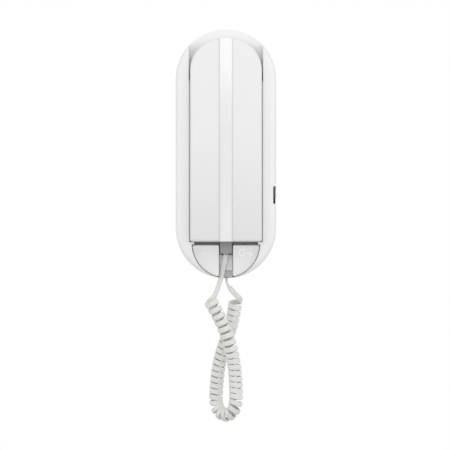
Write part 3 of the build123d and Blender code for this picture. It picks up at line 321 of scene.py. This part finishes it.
def cord_section():
    """The flat cord's outline: rounded edges and shallow valleys between its cores."""
    half_wide = CORD_WIDTH / 2
    half_thick = CORD_THICKNESS / 2
    steps = SECTION_LOBES * STEPS_PER_LOBE
    upper = []
    for index in range(steps + 1):
        across = -1 + 2 * index / steps
        edge = max(abs(across) - FLAT_SHARE, 0) / (1 - FLAT_SHARE)
        round_off = math.sqrt(max(1 - edge**2, 0))
        valley = VALLEY_SHARE * (1 - math.cos(math.pi * SECTION_LOBES * (across + 1)))
        height = round_off * (1 - valley)
        if height > RIM_SHARE:
            upper.append((across * half_wide, height * half_thick))
    lower = [(broad, -thick) for broad, thick in reversed(upper)]
    return [(-half_wide, 0.0)] + upper + [(half_wide, 0.0)] + lower


def sweep_cord(name):
    """Wraps a grid round the line: one column per point, its rows round the section."""
    alongs, thins = cord_frames()
    section = cord_section()
    section.append(section[0])
    sweep = bmesh.new()
    columns = len(cord_line) - 1
    rows = len(section) - 1
    bmesh.ops.create_grid(sweep, x_segments=columns, y_segments=rows, size=1)
    for vert in sweep.verts:
        index = round((vert.co.x + 1) / 2 * columns)
        wide, thick = section[round((vert.co.y + 1) / 2 * rows)]
        broad = alongs[index].cross(thins[index])
        vert.co = cord_line[index] + broad * wide + thins[index] * thick
    bmesh.ops.remove_doubles(sweep, verts=sweep.verts, dist=SEAM_WELD)
    rims = [edge for edge in sweep.edges if edge.is_boundary]
    bmesh.ops.holes_fill(sweep, edges=rims, sides=0)
    bmesh.ops.recalc_face_normals(sweep, faces=sweep.faces)
    piece = mesh_object(name, sweep)
    for polygon in piece.data.polygons:
        polygon.use_smooth = True
    return piece


# Materials
NOISE_PER_SPECKLE = 1 / 12
DRIFT_DETAIL = 3.0
GRAIN_DETAIL = 4.0
RELIEF_SHARE = 0.35
SMOOTHER = 0.04
ROUGHER = 0.05
BAND_LOW = 0.1
BAND_HIGH = -0.6
# The colour sockets of a mix node
MIX_FIRST, MIX_SECOND, MIX_RESULT = 6, 7, 2


def feed(tree, socket, value):
    """Gives a socket a number, a colour or another node's output."""
    if isinstance(value, bpy.types.NodeSocket):
        tree.links.new(value, socket)
    elif isinstance(value, tuple):
        socket.default_value = (*value, 1)
    else:
        socket.default_value = value


def math_node(tree, operation, *inputs):
    node = tree.nodes.new("ShaderNodeMath")
    node.operation = operation
    for socket, value in zip(node.inputs, inputs):
        feed(tree, socket, value)
    return node.outputs["Value"]


def noise_node(tree, where, scale, detail):
    node = tree.nodes.new("ShaderNodeTexNoise")
    feed(tree, node.inputs["Vector"], where)
    node.inputs["Scale"].default_value = scale
    node.inputs["Detail"].default_value = detail
    return node.outputs["Fac"]


def range_node(tree, value, **limits):
    node = tree.nodes.new("ShaderNodeMapRange")
    feed(tree, node.inputs["Value"], value)
    for name, limit in limits.items():
        node.inputs[name.replace("_", " ")].default_value = limit
    return node.outputs["Result"]


def mix_node(tree, factor, first, second):
    node = tree.nodes.new("ShaderNodeMix")
    node.data_type = "RGBA"
    feed(tree, node.inputs["Factor"], factor)
    feed(tree, node.inputs[MIX_FIRST], first)
    feed(tree, node.inputs[MIX_SECOND], second)
    return node.outputs[MIX_RESULT]


def height_node(tree, where):
    node = tree.nodes.new("ShaderNodeSeparateXYZ")
    feed(tree, node.inputs["Vector"], where)
    return node.outputs["Z"]


def finish_material(
    name, colour, deeper, roughness, grain, depth, speckle=400.0, bow=None, bands=None, **values
):
    """A procedural finish: slow colour drift, fine grain in bump and roughness.

    A bow is a start height and a strength: below it the face falls back slightly.
    Bands are a height, a pitch and a paler grey that comes and goes with it: painted highlights,
    as on lit ribs.
    """
    material = bpy.data.materials.new(name)
    material.use_nodes = True
    tree = material.node_tree
    shader = tree.nodes["Principled BSDF"]
    where = tree.nodes.new("ShaderNodeTexCoord").outputs["Object"]
    drift = noise_node(tree, where, speckle * NOISE_PER_SPECKLE, DRIFT_DETAIL)
    fine = noise_node(tree, where, grain, GRAIN_DETAIL)
    tint = mix_node(tree, drift, colour, deeper)
    relief = math_node(tree, "MULTIPLY", fine, RELIEF_SHARE * depth)
    if bow:
        start, strength = bow
        below = math_node(tree, "SUBTRACT", start, height_node(tree, where))
        below = math_node(tree, "MAXIMUM", below, 0.0)
        square = math_node(tree, "MULTIPLY", below, below)
        fall = math_node(tree, "MULTIPLY", square, strength)
        relief = math_node(tree, "SUBTRACT", relief, fall)
    if bands:
        first, pitch, paler = bands
        above = math_node(tree, "SUBTRACT", height_node(tree, where), first)
        wave = math_node(tree, "COSINE", math_node(tree, "MULTIPLY", above, 2 * math.pi / pitch))
        # Paler bands: painted highlights along the knob's ribs
        rib_highlight = range_node(tree, wave, From_Min=BAND_LOW, From_Max=BAND_HIGH)
        tint = mix_node(tree, rib_highlight, tint, paler)
    rough = range_node(tree, fine, To_Min=roughness - SMOOTHER, To_Max=roughness + ROUGHER)
    bump = tree.nodes.new("ShaderNodeBump")
    bump.inputs["Strength"].default_value = 1.0
    bump.inputs["Distance"].default_value = 1.0
    feed(tree, bump.inputs["Height"], relief)
    feed(tree, shader.inputs["Base Color"], tint)
    feed(tree, shader.inputs["Roughness"], rough)
    feed(tree, shader.inputs["Normal"], bump.outputs["Normal"])
    for socket_name, value in values.items():
        shader.inputs[socket_name.replace("_", " ")].default_value = value
    return material


def grey(level):
    return (level, level, level)


BOARD_GREEN = (0.015, 0.11, 0.03)
BOARD_GREEN_DEEPER = (0.02, 0.14, 0.04)
SLEEVE_BLUE = (0.012, 0.016, 0.07)
SLEEVE_BLUE_DEEPER = (0.016, 0.02, 0.09)
CORD_IVORY = (0.79, 0.795, 0.76)
CORD_IVORY_DEEPER = (0.75, 0.755, 0.72)
HANDSET_BOW = (0.02, 1.3)
# The knob's paler bands are painted highlights on its ribs
KNOB_RIB_HIGHLIGHTS = (-28.9 * MM, 2.0 * MM, grey(0.10))

# Each finish: name, colour, deeper colour, roughness, grain, depth and extras
FINISH_TABLE = {
    "plate": ("plate_plastic", grey(0.70), grey(0.66), 0.5, 2500, 4e-5, {}),
    "housing": ("housing_plastic", grey(0.88), grey(0.86), 0.38, 3200, 2e-5, {}),
    "handset": (
        "handset_plastic", grey(0.83), grey(0.81), 0.40, 3200, 2e-5, {"bow": HANDSET_BOW}
    ),
    "trim": ("trim_gloss", grey(0.82), grey(0.81), 0.12, 900, 2e-6, {}),
    "key": ("key_plastic", grey(0.84), grey(0.82), 0.42, 3200, 2e-5, {}),
    # The signs' grey is paler than the keys': painted highlight on the raised signs
    "sign": ("raised_sign", grey(0.97), grey(0.95), 0.3, 3200, 1e-5, {}),
    # The socket's dark grey is painted shade: the shade in the slot under the handset's foot
    "socket": ("socket_plastic", grey(0.33), grey(0.30), 0.5, 2800, 3e-5, {}),
    "hook": ("hook_plastic", grey(0.70), grey(0.66), 0.4, 2500, 2e-5, {}),
    "knob": ("knob_plastic", grey(0.012), grey(0.018), 0.5, 3000, 3e-5, {"bands": KNOB_RIB_HIGHLIGHTS}),
    "board": ("board_lacquer", BOARD_GREEN, BOARD_GREEN_DEEPER, 0.35, 1500, 2e-5, {}),
    "connector": ("connector_plastic", grey(0.62), grey(0.58), 0.5, 2500, 3e-5, {}),
    "dark_connector": ("jack_plastic", grey(0.02), grey(0.028), 0.5, 2500, 3e-5, {}),
    "clear_plug": (
        "plug_plastic", grey(0.62), grey(0.58), 0.12, 900, 2e-6, {"Transmission_Weight": 0.35}
    ),
    "chip": ("chip_resin", grey(0.015), grey(0.022), 0.55, 3000, 3e-5, {}),
    "core": ("core_steel", grey(0.30), grey(0.24), 0.45, 2500, 3e-5, {"Metallic": 0.9}),
    "capacitor": ("capacitor_sleeve", SLEEVE_BLUE, SLEEVE_BLUE_DEEPER, 0.3, 1500, 1e-5, {}),
    "screw": ("zinc_steel", grey(0.55), grey(0.48), 0.3, 2500, 2e-5, {"Metallic": 1.0}),
    "membrane": ("ringer_paper", grey(0.03), grey(0.04), 0.7, 2500, 5e-5, {}),
    "capsule": ("capsule_metal", grey(0.55), grey(0.5), 0.35, 2500, 2e-5, {"Metallic": 1.0}),
    "can": ("microphone_metal", grey(0.6), grey(0.55), 0.3, 2500, 2e-5, {"Metallic": 1.0}),
    "foam": ("gasket_foam", grey(0.012), grey(0.02), 0.9, 1500, 2e-4, {}),
    "rubber": ("boot_rubber", grey(0.015), grey(0.02), 0.75, 2000, 5e-5, {}),
    "cord": ("cord_sheath", CORD_IVORY, CORD_IVORY_DEEPER, 0.42, 900, 8e-6, {}),
}
FINISHES = {
    slot: finish_material(*values, **extras) for slot, (*values, extras) in FINISH_TABLE.items()
}

slots = {entry["node"]: entry["material_slot"] for entry in frame["record"]["subparts"]}
for name, node in frame["nodes"].items():
    node.data.materials.clear()
    node.data.materials.append(FINISHES[slots[name]])

# Cord
cord = sweep_cord("curly_cord")
cord.data.materials.append(FINISHES["cord"])
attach(cord, "base")
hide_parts("cord_handset_lead", "cord_coil", "cord_base_lead")

# Raised signs on the keys, in millimetres
KEY_FACE = 33.0
SIGN_HEIGHT = 0.55
SIGN_EDGE = 0.2
SIGN_EDGE_STEPS = 2
SIGN_RIM_ANGLE = 60
RING_STEPS = 48
RING_CENTRE = (13.8, -86.5)
RING_RADIUS = 2.6
RING_WIDTH = 1.2
SHAFT = [(17.1, -87.4), (24.3, -87.6)]
SHAFT_WIDTH = 1.3
TOOTH = [(20.7, -89.1), (24.0, -89.2)]
TOOTH_WIDTH = 1.6
BAR = [
    (-21.6, -86.9),
    (-20.4, -87.7),
    (-18.6, -88.2),
    (-16.6, -88.3),
    (-14.8, -87.9),
    (-13.4, -87.0),
    (-12.7, -85.9),
    (-12.4, -84.6),
]
BAR_WIDTH = 0.9


def finish_piece(form, name, material, body):
    """Turns the form into an object with that material, riding on the body."""
    bmesh.ops.recalc_face_normals(form, faces=form.faces)
    piece = mesh_object(name, form)
    piece.data.materials.append(material)
    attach(piece, body)


def ribbon(points, width, closed=False):
    """A flat ribbon over the key's face along points given by x and z."""
    form = bmesh.new()
    count = len(points) - 1
    bmesh.ops.create_grid(form, x_segments=count, y_segments=1, size=1)
    for vert in form.verts:
        index = round((vert.co.x + 1) / 2 * count)
        ahead = points[(index + 1) % count] if closed else points[min(index + 1, count)]
        behind = points[(index - 1) % count] if closed else points[max(index - 1, 0)]
        along = Vector((ahead[0] - behind[0], ahead[1] - behind[1])).normalized()
        across = Vector((-along.y, along.x)) * width / 2 * math.copysign(1, vert.co.y)
        x, z = Vector(points[index]) + across
        vert.co = place(x, KEY_FACE, z)
    bmesh.ops.remove_doubles(form, verts=form.verts, dist=SEAM_WELD)
    return form


def raised_sign(name, ribbons, body):
    """Ribbons raised from a key's face, with softened upper edges."""
    form = bmesh.new()
    top = -(KEY_FACE + SIGN_HEIGHT / 2) * MM
    for part in ribbons:
        faces = list(part.faces)
        raised = bmesh.ops.extrude_face_region(part, geom=faces, use_keep_orig=True)
        risen = [item for item in raised["geom"] if isinstance(item, bmesh.types.BMVert)]
        bmesh.ops.translate(part, verts=risen, vec=(0, -SIGN_HEIGHT * MM, 0))
        bmesh.ops.recalc_face_normals(part, faces=part.faces)
        rims = [
            edge
            for edge in part.edges
            if all(vert.co.y < top for vert in edge.verts)
            and len(edge.link_faces) == 2
            and edge.calc_face_angle(0) > math.radians(SIGN_RIM_ANGLE)
        ]
        bmesh.ops.bevel(
            part,
            geom=rims,
            offset=SIGN_EDGE * MM,
            offset_type="OFFSET",
            segments=SIGN_EDGE_STEPS,
            profile=0.5,
            affect="EDGES",
            material=-1,
        )
        copied = bpy.data.meshes.new("sign_part")
        part.to_mesh(copied)
        part.free()
        form.from_mesh(copied)
        bpy.data.meshes.remove(copied)
    finish_piece(form, name, FINISHES["sign"], body)


def circle_points(centre, radius):
    x, z = centre
    steps = [2 * math.pi * step / RING_STEPS for step in range(RING_STEPS + 1)]
    return [(x + radius * math.cos(angle), z + radius * math.sin(angle)) for angle in steps]


ring = ribbon(circle_points(RING_CENTRE, RING_RADIUS), RING_WIDTH, closed=True)
shaft = ribbon(SHAFT, SHAFT_WIDTH)
tooth = ribbon(TOOTH, TOOTH_WIDTH)
raised_sign("door_key_sign", [ring, shaft, tooth], "door_key")
raised_sign("light_key_sign", [ribbon(BAR, BAR_WIDTH)], "light_key")

# Dark lining of the volume slot: a thin sleeve, its depths from the slot's mouth
LINING_MIDDLE = place(42.389, 34.389, -36.3)
LINING_OUTER = 1.27 * MM
LINING_INNER = 1.17 * MM
LINING_STRAIGHT = 6.6 * MM
LINING_NEAR = -0.35 * MM
LINING_FAR = -5.5 * MM
LINING_STEPS = 32
TINY = 1e-6


def slot_lining():
    """A thin dark sleeve inside the slot of the volume knob."""
    outward = Vector((1, -1, 0)).normalized()
    across = Vector((1, 1, 0)).normalized()
    profile = [
        (LINING_OUTER, LINING_NEAR),
        (LINING_OUTER, LINING_FAR),
        (LINING_INNER, LINING_FAR),
        (LINING_INNER, LINING_NEAR),
        (LINING_OUTER, LINING_NEAR),
    ]
    rows = len(profile) - 1
    form = bmesh.new()
    bmesh.ops.create_grid(form, x_segments=LINING_STEPS, y_segments=rows, size=1)
    for vert in form.verts:
        angle = 2 * math.pi * round((vert.co.x + 1) / 2 * LINING_STEPS) / LINING_STEPS
        radius, depth = profile[round((vert.co.y + 1) / 2 * rows)]
        upper = math.cos(angle) > -TINY
        height = radius * math.cos(angle) + (LINING_STRAIGHT if upper else -LINING_STRAIGHT)
        vert.co = LINING_MIDDLE + Vector((0, 0, height)) + across * radius * math.sin(angle)
        vert.co += outward * depth
    bmesh.ops.remove_doubles(form, verts=form.verts, dist=SEAM_WELD)
    finish_piece(form, "volume_slot_lining", FINISHES["chip"], "base")


slot_lining()

# Floor
FLOOR_Z = -300 * MM
FLOOR_RADIUS = 450 * MM
FLOOR_STEPS = 96
floor_form = bmesh.new()
bmesh.ops.create_circle(floor_form, cap_ends=True, segments=FLOOR_STEPS, radius=FLOOR_RADIUS)
bmesh.ops.translate(floor_form, verts=floor_form.verts, vec=(0, 0, FLOOR_Z))
floor = mesh_object("studio_floor", floor_form)
floor.data.materials.append(
    finish_material("floor_paper", grey(0.8), grey(0.78), 0.8, 60, 1e-5, speckle=30)
)


def soft_lamp(name, location, target, size, watts):
    """A rectangular lamp that looks at the target."""
    lamp_data = bpy.data.lights.new(name, "AREA")
    lamp_data.shape = "RECTANGLE"
    lamp_data.size, lamp_data.size_y = size
    lamp_data.energy = watts
    lamp = add_object(name, lamp_data)
    lamp.location = location
    aim = Vector(target) - Vector(location)
    lamp.rotation_euler = aim.to_track_quat("-Z", "Y").to_euler()


# Lamps: name, location, target, size and watts
MIDDLE = (0, 0, -0.06)
soft_lamp("top_lamp", (0, -0.6, 0.7), (0, 0, 0.05), (0.6, 0.6), 1.35)
soft_lamp("right_lamp", (1.0, -0.45, 0.1), MIDDLE, (0.3, 1.0), 2.0)
soft_lamp("left_lamp", (-1.0, -0.45, 0), MIDDLE, (0.3, 1.0), 1.4)
soft_lamp("high_strip", (0, -1.0, 0.14), (0, 0, 0.14), (1.6, 0.1), 2.0)
soft_lamp("low_strip", (0, -1.0, -0.055), (0, 0, -0.055), (0.9, 0.03), 0.13)

# Surroundings: a white that is seen and mirrored, and a softer one that lights
SEEN_STRENGTH = 1.0
LIGHTING_STRENGTH = 0.625


def white_background(tree, strength):
    node = tree.nodes.new("ShaderNodeBackground")
    feed(tree, node.inputs["Color"], grey(1.0))
    feed(tree, node.inputs["Strength"], strength)
    return node.outputs["Background"]


world = bpy.data.worlds.new("studio")
bpy.context.scene.world = world
world.use_nodes = True
air = world.node_tree
air.nodes.clear()
rays = air.nodes.new("ShaderNodeLightPath").outputs
mirrored = math_node(air, "MAXIMUM", rays["Is Glossy Ray"], rays["Is Transmission Ray"])
shown = math_node(air, "MAXIMUM", rays["Is Camera Ray"], mirrored)
blend = air.nodes.new("ShaderNodeMixShader")
feed(air, blend.inputs["Fac"], shown)
feed(air, blend.inputs[1], white_background(air, LIGHTING_STRENGTH))
feed(air, blend.inputs[2], white_background(air, SEEN_STRENGTH))
output = air.nodes.new("ShaderNodeOutputWorld")
feed(air, output.inputs["Surface"], blend.outputs["Shader"])

bpy.context.scene.view_settings.view_transform = "Standard"
